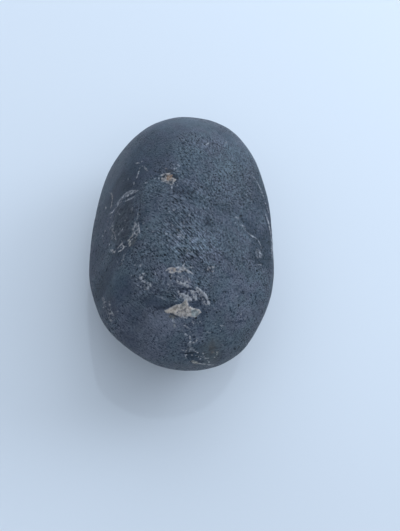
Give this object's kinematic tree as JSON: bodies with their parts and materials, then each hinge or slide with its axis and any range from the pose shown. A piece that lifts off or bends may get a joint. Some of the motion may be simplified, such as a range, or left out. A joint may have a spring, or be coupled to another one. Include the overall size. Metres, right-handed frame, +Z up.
{
  "type": "river pebble",
  "caption": "Water-worn river pebble, egg-shaped in plan, with soft worn faces and shallow scars, lying on its flattest side.",
  "frame": {"origin": "on the ground, under the middle of the stone's box", "axes": "+Z up, +Y along the stone towards its narrower end, +X towards its overhanging side"},
  "size_m": [0.061, 0.095, 0.044],
  "materials": {
    "river_stone": "water-worn, satin, dark blue-grey with pale veins and ochre stains"
  },
  "bodies": {
    "root": {"pebble": "river_stone"}
  },
  "joints": []
}
